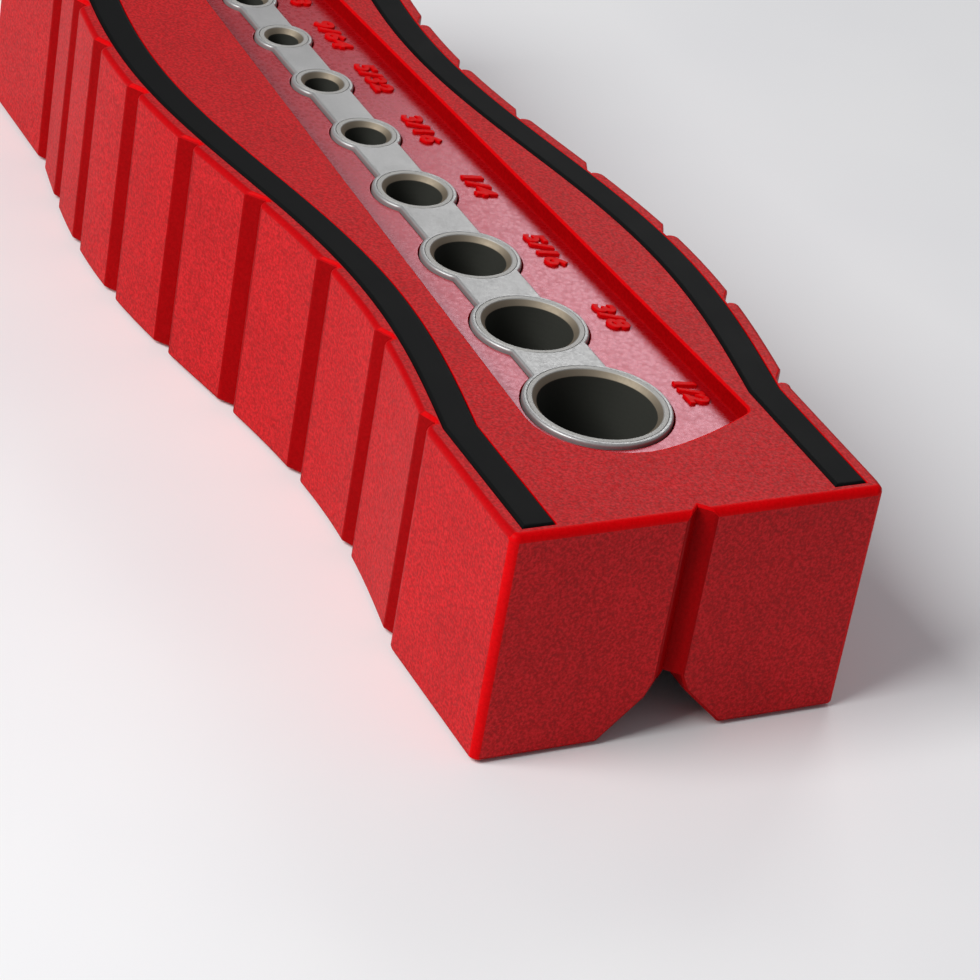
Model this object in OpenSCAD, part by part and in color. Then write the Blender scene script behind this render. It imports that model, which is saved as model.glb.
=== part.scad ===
// Hand-held drill guide: a waved block with a row of hardened bushings in a cast strip,
// set in a long pocket, over a V-groove that seats the block on round stock.
// Millimetres. X runs along the block, towards the largest bore; Z is up.
// The origin is under the middle of the block, on the plane that it stands on.

/* [Block] */
// Width across the two rippled sides at the ends
body_w = 42.7; // [42:0.1:48]
// Height of the moulded block without its base pads
body_h = 27.2; // [26:0.2:34]
// Sideways swing of the waved sides about the middle plane
wave_a = 3.3; // [0:0.1:3.6]
// Straight length at each end before the wave starts
straight_l = 19.8; // [16:0.2:26]
// Wall of the block behind the grooves
side_wall = 2.2; // [1.6:0.1:2.4]
// Wall at each end
end_wall = 3.4; // [2.6:0.1:4]
// Thickness of the pocket's floor
deck_t = 2.5; // [2:0.1:3]
// Thickness of the top beside the pocket
roof_t = 2.6; // [2.2:0.1:3.2]
// Radius of the block's upright corners
corner_r = 1; // [0.4:0.1:1.4]

/* [Side grooves] */
// Depth of each upright groove in the sides
groove_d = 1.25; // [0.6:0.05:1.4]
// Length of the slope where a panel ends in a groove
groove_ramp = 2.1; // [1:0.1:3]
// Length of the flat at the bottom of a groove
groove_floor = 0.3; // [0.2:0.1:1]
// Length of the round where the next panel starts
groove_rise = 1; // [0.4:0.1:1.6]
// Distance of a groove's bottom ahead of its bore's axis
groove_lead = 1.9; // [0:0.1:2.4]

/* [Bores] */
// Diameter of the largest drill
largest_drill = 12.7; // [12.5:0.1:13]
// Distance of the first bore's axis from the large end face
first_margin = 23.2; // [22.8:0.2:26]
// Distance of the last bore's axis from the small end face
last_margin = 18.4; // [17.6:0.2:21]
// Distance between the first and the second bore
first_pitch = 16.3; // [16:0.1:16.6]
// Radial play of a drill in its bushing
drill_play = 0.05; // [0.02:0.01:0.1]
// Wall of a bushing
bushing_wall = 1.1; // [0.9:0.05:1.2]
// Bevel at the mouth of a bushing
mouth_bevel = 0.6; // [0.3:0.05:0.7]
// Wall of the cast boss that shows round a bushing
boss_wall = 0.55; // [0.4:0.05:0.6]
// Wall of the cast socket that holds a bushing below the strip
socket_wall = 1.2; // [0.9:0.1:1.3]
// Length of a socket below the strip's flange
socket_l = 5; // [3:0.5:7]

/* [Guide strip] */
// How far the strip stands above the pocket's floor
strip_proud = 0.5; // [0.2:0.05:0.9]
// Thickness of the strip's hidden flange
flange_t = 2.4; // [1.8:0.1:3]
// Width of the flange
flange_w = 14; // [13.8:0.1:15.6]
// Length of the flange past each end of the pocket
ear_l = 6; // [5.6:0.1:6.6]
// Gap round the strip in its slot
slot_gap = 0.15; // [0.1:0.05:0.3]

/* [Pocket] */
// Depth of the pocket in the top
pocket_d = 2; // [1:0.1:2.4]
// Gap between the pocket's large end and the first boss
pocket_gap = 3.5; // [3:0.1:4]
// Gap between the pocket's small end and the last boss
pocket_rear_gap = 2.4; // [2:0.1:3]
// How far the pocket's large end falls back to its right corner
pocket_arc_h = 4.9; // [4:0.1:5.6]
// Length of the round at the left of the pocket's large end
pocket_round_l = 8.4; // [7:0.2:9]
// Radius of the pocket's right corners
pocket_r = 1.3; // [0.6:0.1:1.6]
// Wall under the pocket's edge
tray_wall = 1.8; // [1.4:0.1:2]
// Reach of the pocket to the left of the bores, at its large end
pocket_left_big = 10.1; // [9.5:0.1:10.5]
// Reach of the pocket to the left of the bores, at its small end
pocket_left_small = 6.6; // [5.5:0.1:7.5]
// Distance of the pocket's large end from the right rubber strip
pocket_grip_gap = 1.65; // [1.4:0.05:2]
// Reach of the pocket to the right of the bores, at its small end
pocket_right_small = 8.8; // [8:0.1:9.5]

/* [Grip strips] */
// Width of a rubber strip inlaid in the top
grip_w = 3.8; // [3:0.1:4]
// Distance of a rubber strip from the side
grip_edge = 1.6; // [1.5:0.1:1.9]
// Distance of a rubber strip's end from the end face
grip_end = 1.3; // [1.2:0.1:3]
// Depth of a rubber strip in the top
grip_d = 1.3; // [0.8:0.1:1.4]
// How far a rubber strip stands above the top
grip_proud = 0.2; // [0:0.05:0.4]

/* [V-groove] */
// Width of the V-groove at the base
vee_w = 14.4; // [13:0.2:15]
// Width of the relief slot where the V's flanks end
slot_w = 4.8; // [4.6:0.1:5.4]
// Width of the relief slot at its top
slot_top_w = 2.8; // [2.4:0.1:3.4]
// Height of the relief slot above the V's flanks
slot_h = 2.2; // [1.5:0.1:3]
// Width of the sighting notch in each end face
notch_w = 3; // [2:0.1:3.6]
// Depth of the sighting notch
notch_d = 1.4; // [0.8:0.1:1.6]

/* [Base] */
// Thickness of the base plate
base_t = 3; // [2.6:0.1:3.4]
// Wall of the base plate's V-channel
vee_wall = 1.9; // [1.5:0.1:2.2]
// Gap round the base plate in the block
base_gap = 0.2; // [0.1:0.05:0.3]
// How far the base pads stand below the block
pad_proud = 0.4; // [0.2:0.05:0.8]
// Depth of the base pads in the base plate
pad_d = 0.9; // [0.6:0.1:1.2]
// Distance of a base pad from the V-groove
pad_vee_gap = 1.2; // [1:0.1:2]
// Distance of a base pad from the base plate's edge
pad_edge = 1; // [0.8:0.1:1.6]
// Distance of a base pad's ends from the screws' axes
pad_screw_gap = 6; // [4:0.2:10]

/* [Screws] */
// Radius of the screws' threaded part
screw_r = 1.3; // [1.1:0.05:1.4]
// Radius of the screws' heads
head_r = 2.6; // [2.4:0.1:2.8]
// Thickness of the screws' heads
head_t = 1.3; // [1:0.1:1.4]
// Depth of the base screws' heads below the plate's face
head_inset = 0.2; // [0.1:0.05:0.3]
// Length of a base screw under its head
base_screw_l = 9; // [7:0.5:12]
// Length of a strip screw under its head
strip_screw_l = 5.2; // [4.8:0.1:5.4]
// Radial play of a screw in its hole
screw_play = 0.05; // [0.03:0.01:0.1]
// Wall of the block's screw posts
post_wall = 1.8; // [1.4:0.1:2]
// Distance of the end base screws from the end faces
base_screw_in = 9.6; // [9:0.2:11]
// Distance of the base screws' axes from the base plate's edge
screw_edge = 3.9; // [3.6:0.1:4.4]
// Distance between the two strip screws at each end
strip_screw_gap = 8.6; // [8:0.1:9]

/* [Hidden] */
$fn = 48;

// Drill sizes as shares of the largest, from the first bore to the last
drill_shares = [1, 3 / 4, 5 / 8, 1 / 2, 3 / 8, 5 / 16, 9 / 32, 1 / 4, 7 / 32];
// Distances from one bore to the next, as shares of the first distance
pitch_shares = [1, 0.92, 0.92, 0.835, 0.785, 0.725, 0.645, 0.6];
// Width of the strip's necks, as a share of the smaller boss beside each
neck_share = 0.69;
// Overrun of a cut past the face that it opens
over = 0.5;
// Gap between pieces that seat on each other
seat = 0.1;
// Gap round rubber pieces in their recesses and bushings in their sockets
inlay_gap = 0.05;
// Gap between the end of a bushing and the base plate's channel
bushing_gap = 0.3;
// Radial room of a drill where it leaves through the base plate
exit_room = 0.5;
// Thickness of the webs that tie the screw posts to the sides
web_t = 1.8;
// Width, length and depth of the cross in a screw's head
cross_w = 0.8;
cross_l = 2.8;
cross_d = 0.7;
// Number of steps along one wave of a long edge
wave_steps = 48;
// Shortest step between two points of a long edge, as a share of the usual step
least_step_share = 0.13;
// Number of steps along a round corner and along each half of a pocket's end
arc_steps = 8;
// Power of the fall of a pocket's end towards its right corner
fall_power = 1.5;

// Bores, counted from the largest, and the block's length that holds them
last_bore = len(drill_shares) - 1;
function drill_r(i) = drill_shares[i] * largest_drill / 2;
function bore_r(i) = drill_r(i) + drill_play;
function bushing_r(i) = bore_r(i) + bushing_wall;
function boss_r(i) = bushing_r(i) + boss_wall;
function pitches(i) = i > 0 ? pitches(i - 1) + first_pitch * pitch_shares[i - 1] : 0;
half_l = (first_margin + pitches(last_bore) + last_margin) / 2;
half_w = body_w / 2;
function bore_x(i) = half_l - first_margin - pitches(i);

// Heights, from the base up
base_z = pad_proud;
base_top_z = base_z + base_t;
flank_h = (vee_w - slot_w) / 2;
vee_h = flank_h + slot_h;
bushing_z = base_z + vee_h + vee_wall + bushing_gap;
top_z = base_z + body_h;
roof_z = top_z - roof_t;
floor_z = top_z - pocket_d;
deck_z = floor_z - deck_t;
strip_z = floor_z + strip_proud;
flange_top_z = deck_z - seat;
flange_z = flange_top_z - flange_t;
// Height up to which inner walls run into the top
root_z = top_z - roof_t / 2;

// Half width and half length of the hollow inside the block
hollow_w = half_w - groove_d - side_wall;
hollow_end = half_l - end_wall;

// Ends of the pocket, and its reach to the right at the large one
pocket_front_x = bore_x(0) + boss_r(0) + pocket_gap;
pocket_rear_x = bore_x(last_bore) - boss_r(last_bore) - pocket_rear_gap;
pocket_right_big = half_w - grip_edge - grip_w - pocket_grip_gap;

// Lists and corners
function reversed(list) = [for (i = [len(list) - 1 : -1 : 0]) list[i]];
function unit(v) = v / norm(v);
function angle(v) = atan2(v.y, v.x);
// The same turn, taken the short way round
function short_turn(a) = abs(a) > 180 ? a - sign(a) * 360 : a;
// Round corner between the directions to the points before and after it
function fillet(before, corner, after, radius) =
    let (u = unit(before - corner), v = unit(after - corner), half = acos(u * v) / 2)
    let (centre = corner + unit(u + v) * radius / sin(half))
    let (start = angle(corner + u * radius / tan(half) - centre))
    let (end = angle(corner + v * radius / tan(half) - centre))
    let (turn = short_turn(end - start))
    [for (k = [0 : arc_steps]) let (a = start + turn * k / arc_steps)
        centre + radius * [cos(a), sin(a)]];

// Middle line of the waved sides at a place along the block
wave_end = half_l - straight_l;
function wave(x) = abs(x) < wave_end ? wave_a * sin(180 * x / wave_end) : 0;
wave_xs = [for (k = [0 : wave_steps]) wave_end * (2 * k / wave_steps - 1)];
least_step = least_step_share * (wave_xs[1] - wave_xs[0]);
// Places along a long edge, with one at each bend where the wave starts
function stations(a, b) = [a, for (x = wave_xs) if (x > a + least_step && x < b - least_step) x, b];
// Outline between two edges that follow the wave at given distances from its middle line
function waved_band(reach, low, high) = let (xs = stations(-reach, reach))
    concat([for (x = xs) [x, wave(x) + low]], [for (x = reversed(xs)) [x, wave(x) + high]]);

// One rippled side from the rear end to the front end; the sign picks the side
groove_xs = [for (i = [last_bore : -1 : 0]) bore_x(i) + groove_lead];
panel_starts = concat([-half_l + corner_r], [for (x = groove_xs) x + groove_rise]);
panel_ends = concat([for (x = groove_xs) x - groove_floor - groove_ramp], [half_l - corner_r]);
function side_point(x, depth, side) = [x, wave(x) + side * (half_w - depth)];
function groove_points(x, side) = concat([side_point(x - groove_floor, groove_d, side)],
    [for (k = [0 : arc_steps - 1]) let (a = 90 * k / arc_steps)
        side_point(x + groove_rise * (1 - cos(a)), groove_d * (1 - sin(a)), side)]);
function panel_points(i, side) =
    [for (x = stations(panel_starts[i], panel_ends[i])) side_point(x, 0, side)];
function side_points(side) = [for (i = [0 : len(groove_xs)]) each concat(
    i > 0 ? groove_points(groove_xs[i - 1], side) : [], panel_points(i, side))];
// Upright corner of an end face, turned from the side towards the end
function corner_points(end, side) = [for (k = [1 : arc_steps]) let (a = 90 * k / arc_steps)
    [end * (half_l - corner_r * (1 - sin(a))), side * (half_w - corner_r * (1 - cos(a)))]];
function notch_points(end) = [[end * half_l, end * notch_w / 2],
    [end * (half_l - notch_d), 0], [end * half_l, -end * notch_w / 2]];
body_outline = concat(side_points(1), corner_points(1, 1), notch_points(1),
    reversed(corner_points(1, -1)), reversed(side_points(-1)), corner_points(-1, -1),
    notch_points(-1), reversed(corner_points(-1, 1)));

// Pocket, which widens towards the large bores
function along(x) = (x - pocket_rear_x) / (pocket_front_x - pocket_rear_x);
function pocket_left(x) = pocket_left_small + (pocket_left_big - pocket_left_small) * along(x);
function pocket_right(x) = pocket_right_small + (pocket_right_big - pocket_right_small) * along(x);
// End of the pocket: it falls back to its right corner, and turns into its left side in a round
function pocket_end(x, out, grow) =
    let (right = pocket_right(x) + grow, left = pocket_left(x) + grow, tip = x + out * grow)
    let (share = (pocket_right(x) + pocket_left(x)) / (pocket_right_big + pocket_left_big))
    let (fall = out * share * pocket_arc_h, back = out * (share * pocket_round_l + grow))
    concat([for (k = [0 : arc_steps - 1]) let (s = 1 - k / arc_steps)
            [tip - fall * pow(s, fall_power), s * right]],
        [for (k = [0 : arc_steps]) let (a = 90 * k / arc_steps)
            [tip - back * (1 - cos(a)), -left * sin(a)]]);
function pocket_outline(grow) =
    let (front = pocket_end(pocket_front_x, 1, grow))
    let (rear = reversed(pocket_end(pocket_rear_x, -1, grow)))
    let (n = len(front) - 1)
    concat(fillet(rear[n], front[0], front[1], pocket_r), [for (k = [1 : n]) front[k]],
        [for (k = [0 : n - 1]) rear[k]], fillet(rear[n - 1], rear[n], front[0], pocket_r));

// Section of the V-groove, or of the channel round it when it has a wall
function vee_points(wall, drop) = let (half = [
        [vee_w / 2 + wall * sqrt(2) + drop, base_z - drop],
        [slot_w / 2 + wall, base_z + flank_h + wall * (sqrt(2) - 1)],
        [slot_top_w / 2 + wall, base_z + vee_h + wall]])
    concat(half, [for (p = reversed(half)) [-p.x, p.y]]);
module vee(reach, wall, drop) {
    translate([-reach, 0, 0])
        rotate([90, 0, 90])
            linear_extrude(2 * reach)
                polygon(vee_points(wall, drop));
}

// Half width and half length of the base plate
plate_w = hollow_w - base_gap;
plate_end = hollow_end - base_gap;
// Places of the screws
base_screw_x = half_l - base_screw_in;
base_screw_y = plate_w - screw_edge;
base_screw_places = [for (x = [-base_screw_x, 0, base_screw_x], side = [-1, 1])
    [x, side * base_screw_y]];
strip_screw_places = [for (x = [pocket_rear_x - ear_l / 2, pocket_front_x + ear_l / 2], side = [-1, 1])
    [x, side * strip_screw_gap / 2]];

// Block: shell
module shell() {
    difference() {
        translate([0, 0, base_z])
            linear_extrude(body_h)
                polygon(body_outline);
        translate([0, 0, base_z - over])
            linear_extrude(roof_z - base_z + over)
                polygon(waved_band(hollow_end, -hollow_w, hollow_w));
    }
}
// Block: tray under the pocket, with a seat for each end of the strip
module tray() {
    translate([0, 0, deck_z])
        linear_extrude(root_z - deck_z)
            polygon(pocket_outline(tray_wall));
    for (x = [pocket_rear_x - ear_l, pocket_front_x])
        translate([x, -flange_w / 2, deck_z])
            cube([ear_l, flange_w, root_z - deck_z]);
}
// Block: posts for the base screws, each tied to the side by a web
module posts() {
    post_z = base_top_z + seat;
    for (place = base_screw_places)
        translate([place.x, place.y, post_z]) {
            cylinder(r = screw_r + post_wall, h = root_z - post_z);
            mirror([0, place.y > 0 ? 0 : 1, 0])
                translate([-web_t / 2, 0, 0])
                    cube([web_t, hollow_w + side_wall / 2 - base_screw_y, root_z - post_z]);
        }
}
// Outline of the strip: round bosses joined by straight necks
module strip_outline(grow) {
    for (i = [0 : last_bore])
        translate([bore_x(i), 0])
            circle(r = boss_r(i) + grow);
    for (i = [1 : last_bore]) {
        half_neck = neck_share * boss_r(i) + grow;
        translate([bore_x(i), -half_neck])
            square([bore_x(i - 1) - bore_x(i), 2 * half_neck]);
    }
}
// Round cut for a screw between two heights
module screw_hole(place, low, high, r) {
    translate([place.x, place.y, low])
        cylinder(r = r, h = high - low);
}
module housing() {
    base_hole_top = base_z + head_inset + head_t + base_screw_l + seat;
    strip_hole_top = flange_z + strip_screw_l;
    color("firebrick")
        difference() {
            union() {
                shell();
                tray();
                posts();
            }
            translate([0, 0, floor_z])
                linear_extrude(pocket_d + over)
                    polygon(pocket_outline(0));
            translate([0, 0, deck_z - over])
                linear_extrude(deck_t + 2 * over)
                    strip_outline(slot_gap);
            for (side = [-1, 1])
                translate([0, 0, top_z - grip_d])
                    linear_extrude(grip_d + over)
                        polygon(grip_outline(side, 0));
            vee(half_l + over, 0, over);
            for (place = base_screw_places)
                screw_hole(place, base_top_z - over, base_hole_top, screw_r + screw_play);
            for (place = strip_screw_places)
                screw_hole(place, deck_z - over, strip_hole_top, screw_r + screw_play);
        }
}

// Rubber strip in the top, on the side given by its sign
function grip_outline(side, gap) = waved_band(half_l - grip_end - gap,
    side * (half_w - grip_edge - grip_w / 2) - grip_w / 2 + gap,
    side * (half_w - grip_edge - grip_w / 2) + grip_w / 2 - gap);
module grip_strip(side) {
    low = top_z - grip_d + inlay_gap;
    color("dimgray")
        translate([0, 0, low])
            linear_extrude(top_z + grip_proud - low)
                polygon(grip_outline(side, inlay_gap));
}

// Base plate with its V-channel, its recesses for pads and screws, and a way out for each drill
module base_plate() {
    head_top = base_z + head_inset + head_t;
    color("dimgray")
        difference() {
            union() {
                translate([0, 0, base_z])
                    linear_extrude(base_t)
                        polygon(waved_band(plate_end, -plate_w, plate_w));
                vee(plate_end, vee_wall, 0);
            }
            vee(plate_end + over, 0, over);
            for (i = [0 : last_bore])
                translate([bore_x(i), 0, base_z])
                    cylinder(r = drill_r(i) + exit_room, h = bushing_z - base_z);
            for (front = [-1, 1], side = [-1, 1])
                translate([0, 0, base_z - over])
                    linear_extrude(pad_d + over)
                        polygon(pad_outline(front, side, 0));
            for (place = base_screw_places) {
                screw_hole(place, base_z - over, head_top + seat / 2, head_r + screw_play);
                screw_hole(place, base_z - over, base_top_z + over, screw_r + screw_play);
            }
        }
}

// Rubber pad under the base, with a straight edge along the V and a waved one along the side
function pad_outline(front, side, gap) =
    let (near = pad_screw_gap + gap, far = base_screw_x - pad_screw_gap - gap)
    let (xs = front > 0 ? stations(near, far) : stations(-far, -near))
    concat([for (x = xs) [x, side * (vee_w / 2 + pad_vee_gap + gap)]],
        [for (x = reversed(xs)) [x, wave(x) + side * (plate_w - pad_edge - gap)]]);
module base_pad(front, side) {
    color("black")
        linear_extrude(base_z + pad_d - inlay_gap)
            polygon(pad_outline(front, side, inlay_gap));
}

// Cast strip: bosses and necks that show, a hidden flange, and a socket round each bushing
module guide_strip() {
    color("silver")
        difference() {
            union() {
                translate([0, 0, flange_z])
                    linear_extrude(strip_z - flange_z)
                        strip_outline(0);
                translate([pocket_rear_x - ear_l, -flange_w / 2, flange_z])
                    cube([pocket_front_x - pocket_rear_x + 2 * ear_l, flange_w, flange_t]);
                for (i = [0 : last_bore])
                    translate([bore_x(i), 0, flange_z - socket_l])
                        cylinder(r = bushing_r(i) + socket_wall, h = socket_l + flange_t);
            }
            for (i = [0 : last_bore])
                translate([bore_x(i), 0, flange_z - socket_l - over])
                    cylinder(r = bushing_r(i) + inlay_gap, h = strip_z - flange_z + socket_l + 2 * over);
            for (place = strip_screw_places)
                screw_hole(place, flange_z - over, flange_top_z + over, screw_r + screw_play);
        }
}

// Hardened bushing with a bevelled mouth
module bushing(i) {
    h = strip_z - bushing_z;
    color("lightgray")
        translate([bore_x(i), 0, bushing_z])
            difference() {
                cylinder(r = bushing_r(i), h = h);
                translate([0, 0, -over])
                    cylinder(r = bore_r(i), h = h + 2 * over);
                translate([0, 0, h - mouth_bevel])
                    cylinder(r1 = bore_r(i), r2 = bore_r(i) + mouth_bevel + over, h = mouth_bevel + over);
            }
}

// Screw with its head down and a cross in the head
module screw(length) {
    difference() {
        union() {
            cylinder(r = head_r, h = head_t);
            cylinder(r = screw_r, h = head_t + length);
        }
        for (turn = [0, 90])
            rotate(turn)
                translate([-cross_l / 2, -cross_w / 2, -over])
                    cube([cross_l, cross_w, cross_d + over]);
    }
}
module base_screws() {
    color("gray")
        for (place = base_screw_places)
            translate([place.x, place.y, base_z + head_inset])
                screw(base_screw_l);
}
module strip_screws() {
    color("gray")
        for (place = strip_screw_places)
            translate([place.x, place.y, flange_z - seat - head_t])
                screw(strip_screw_l);
}

housing();
base_plate();
guide_strip();
bushing(0);  // bushing_1_2
bushing(1);  // bushing_3_8
bushing(2);  // bushing_5_16
bushing(3);  // bushing_1_4
bushing(4);  // bushing_3_16
bushing(5);  // bushing_5_32
bushing(6);  // bushing_9_64
bushing(7);  // bushing_1_8
bushing(8);  // bushing_7_64
grip_strip(-1);  // grip_strip_left
grip_strip(1);  // grip_strip_right
base_pad(1, -1);  // base_pad_front_left
base_pad(1, 1);  // base_pad_front_right
base_pad(-1, -1);  // base_pad_rear_left
base_pad(-1, 1);  // base_pad_rear_right
base_screws();
strip_screws();
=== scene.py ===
"""Drill guide: its looks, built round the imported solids.

The guide is a red moulded block with waved, stepped sides. A cast strip with nine
hardened bushings lies in a long pocket in its top, beside raised size marks. Two rubber
strips are let into the top, and a black plate with a V-groove closes the block below.

Lengths in the classes are millimetres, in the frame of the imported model: X runs along
the block towards the largest bore, Z is up, and the base pads stand on Z = 0.
"""

from __future__ import annotations

import logging
import math
from dataclasses import dataclass, field
from enum import Enum
from typing import Any, Callable, Iterable, Sequence

import bmesh
import bpy
from bmesh.types import BMEdge
from bpy.types import Material, Node, NodeSocket, NodeTree, Object
from mathutils import Matrix, Vector

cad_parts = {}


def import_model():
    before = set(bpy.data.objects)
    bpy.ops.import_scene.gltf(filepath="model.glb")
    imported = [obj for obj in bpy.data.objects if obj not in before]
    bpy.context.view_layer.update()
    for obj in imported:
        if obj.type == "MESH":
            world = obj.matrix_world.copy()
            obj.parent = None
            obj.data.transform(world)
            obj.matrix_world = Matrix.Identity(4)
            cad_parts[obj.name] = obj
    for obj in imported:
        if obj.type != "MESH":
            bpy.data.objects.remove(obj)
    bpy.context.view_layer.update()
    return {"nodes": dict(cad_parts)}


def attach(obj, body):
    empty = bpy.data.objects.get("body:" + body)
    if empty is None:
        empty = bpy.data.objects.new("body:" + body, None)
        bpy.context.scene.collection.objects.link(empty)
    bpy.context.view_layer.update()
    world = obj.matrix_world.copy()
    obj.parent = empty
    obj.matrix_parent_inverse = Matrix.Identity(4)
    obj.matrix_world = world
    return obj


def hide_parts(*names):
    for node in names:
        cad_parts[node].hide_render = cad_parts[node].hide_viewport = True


LOG = logging.getLogger("drill_guide")
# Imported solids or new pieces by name
Pieces = dict[str, Object]
# Metres in a millimetre
MM = 0.001
# The one body, which every piece rides on
BODY = "root"
# Corners of a solid's loose triangles that are nearer than this are one, in millimetres
JOIN_MM = 0.002
# Triangles that turn by less than this are one flat face
FLAT_TURN = math.radians(0.15)
# Edges that turn by less than this are shaded smooth
SMOOTH_TURN = math.radians(32)
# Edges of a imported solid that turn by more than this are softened
SOFT_TURN = math.radians(35)
# A cut treats corners that are nearer than this as lying on it, in millimetres
CUT_MM = 0.0001


class Slot(Enum):
    """Material slots of the record, one for each kind of finish."""

    RED_PLASTIC = "red_plastic"
    CAST_METAL = "cast_metal"
    GRIP_RUBBER = "grip_rubber"


class Zone(Enum):
    """Kinds of edge that are rounded with their own radius."""

    NONE = "none"
    END_RIM = "end rim"
    PANEL_RIM = "panel rim"
    GROOVE_RIM = "groove rim"
    SLOPE_RIM = "slope rim"
    NOTCH = "notch"
    FOOT = "foot"
    POCKET_RIM = "pocket rim"
    POCKET_ROOT = "pocket root"
    SLOT_RIM = "slot rim"
    INLAY_RIM = "inlay rim"
    STEP = "step"


class Gloss(Enum):
    """The block's surface at a face: the die's finish, a darker red that paints shade on walls and
    grooves, or a brighter red that paints a highlight on rounded edges.
    """

    GRAINED = "grained"
    SMOOTH = "smooth"
    POLISHED = "polished"
    EDGE = "edge"
    RIM = "rim"


# Small tools


def linear(code: str) -> tuple[float, float, float, float]:
    """Turn an sRGB hex colour into a linear one.

    Args:
        code: six hex digits, with or without a hash in front.

    Returns:
        Linear red, green, blue and an alpha of one.
    """
    digits = code.lstrip("#")
    parts = [int(digits[i : i + 2], 16) / 255 for i in (0, 2, 4)]
    r, g, b = (p / 12.92 if p <= 0.04045 else ((p + 0.055) / 1.055) ** 2.4 for p in parts)
    return (r, g, b, 1.0)


def add_node(
    tree: NodeTree,
    kind: str,
    settings: dict[str, Any] | None = None,
    inputs: dict[str | int, Any] | None = None,
) -> Node:
    """Add one node, with its settings, its input values and its links.

    Args:
        tree: the tree that the node goes into.
        kind: Blender's name for the type of node.
        settings: the node's own properties by name.
        inputs: by socket name or index, a value or an output socket to link from.

    Returns:
        The new node.
    """
    node = tree.nodes.new(kind)
    for name, value in (settings or {}).items():
        setattr(node, name, value)
    for key, value in (inputs or {}).items():
        if isinstance(value, NodeSocket):
            tree.links.new(value, node.inputs[key])
        else:
            node.inputs[key].default_value = value
    return node


def per_metre(width: float) -> float:
    """Scale of a pattern whose features are so many millimetres wide."""
    return 1 / (width * MM)


def start_material(name: str) -> tuple[Material, NodeTree, NodeSocket]:
    """Start a material whose patterns lie on Object coordinates.

    Args:
        name: the real material and how its surface was made.

    Returns:
        The material, its tree and the socket that gives the coordinates.
    """
    material = bpy.data.materials.new(name)
    material.use_nodes = True
    tree = material.node_tree
    tree.nodes.clear()
    return material, tree, add_node(tree, "ShaderNodeTexCoord").outputs["Object"]


def set_ramp(node: Node, stops: Sequence[tuple[float, str]]) -> None:
    """Give a colour ramp its stops.

    Args:
        node: the ramp node.
        stops: places from 0 to 1, each with its sRGB hex colour.
    """
    ramp = node.color_ramp
    while len(ramp.elements) > 1:
        ramp.elements.remove(ramp.elements[-1])
    ramp.elements[0].position = stops[0][0]
    ramp.elements[0].color = linear(stops[0][1])
    for place, code in stops[1:]:
        ramp.elements.new(place).color = linear(code)


def deselect() -> None:
    """Leave object mode with nothing selected."""
    if bpy.context.object and bpy.context.object.mode != "OBJECT":
        bpy.ops.object.mode_set(mode="OBJECT")
    bpy.ops.object.select_all(action="DESELECT")


def activate(piece: Object) -> None:
    """Make one piece the only selected and the active one.

    Args:
        piece: the piece to work on.
    """
    deselect()
    piece.select_set(True)
    bpy.context.view_layer.objects.active = piece


def apply_modifier(piece: Object, kind: str, **settings: Any) -> None:
    """Add a modifier to a piece and apply it at once.

    Args:
        piece: the piece to finish.
        kind: Blender's name for the type of modifier.
        settings: the modifier's properties.
    """
    activate(piece)
    modifier = piece.modifiers.new(kind.title(), kind)
    for name, value in settings.items():
        setattr(modifier, name, value)
    bpy.ops.object.modifier_apply(modifier=modifier.name)


def merged_copy(node: Object, name: str, cut_normal: tuple[float, float, float]) -> Object:
    """Copy a solid's mesh as a new piece, with its loose triangles joined to flat faces.

    A cut through the middle first opens the ring-shaped faces, so that no face has a hole.

    Args:
        node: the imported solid, which stays as it is.
        name: the new piece's name.
        cut_normal: the direction across the cut.

    Returns:
        The new piece, at the origin.
    """
    mesh = node.data.copy()
    mesh.name = name
    mesh.materials.clear()
    piece = bpy.data.objects.new(name, mesh)
    bpy.context.scene.collection.objects.link(piece)
    activate(piece)
    bpy.ops.object.mode_set(mode="EDIT")
    bpy.ops.mesh.select_all(action="SELECT")
    if mesh.has_custom_normals:
        bpy.ops.mesh.customdata_custom_splitnormals_clear()
    bpy.ops.mesh.remove_doubles(threshold=JOIN_MM * MM)
    bpy.ops.mesh.bisect(plane_co=(0, 0, 0), plane_no=cut_normal)
    bpy.ops.mesh.mark_seam(clear=False)
    bpy.ops.mesh.select_all(action="SELECT")
    bpy.ops.mesh.dissolve_limited(angle_limit=FLAT_TURN, delimit={"SEAM"})
    bpy.ops.mesh.mark_seam(clear=True)
    bpy.ops.object.mode_set(mode="OBJECT")
    return piece


def round_edges(piece: Object, radius_of: Callable[[BMEdge], float], segments: int = 4) -> None:
    """Round a piece's edges, each with its own radius.

    Args:
        piece: the piece to round.
        radius_of: gives an edge's radius in millimetres, or 0 to leave it sharp.
        segments: the number of faces across each rounded edge.
    """
    work = bmesh.new()
    work.from_mesh(piece.data)
    work.normal_update()
    layer = work.edges.layers.float.get("bevel_weight_edge") or work.edges.layers.float.new(
        "bevel_weight_edge"
    )
    for edge in work.edges:
        edge[layer] = radius_of(edge) if len(edge.link_faces) == 2 else 0.0
    work.to_mesh(piece.data)
    work.free()
    # an edge's weight is its radius, so the width is one millimetre
    apply_modifier(
        piece,
        "BEVEL",
        limit_method="WEIGHT",
        width=1.0 * MM,
        segments=segments,
        use_clamp_overlap=False,
    )
    activate(piece)
    bpy.ops.object.shade_smooth_by_angle(angle=SMOOTH_TURN)
    apply_modifier(piece, "WEIGHTED_NORMAL", keep_sharp=True, weight=60)


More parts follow.
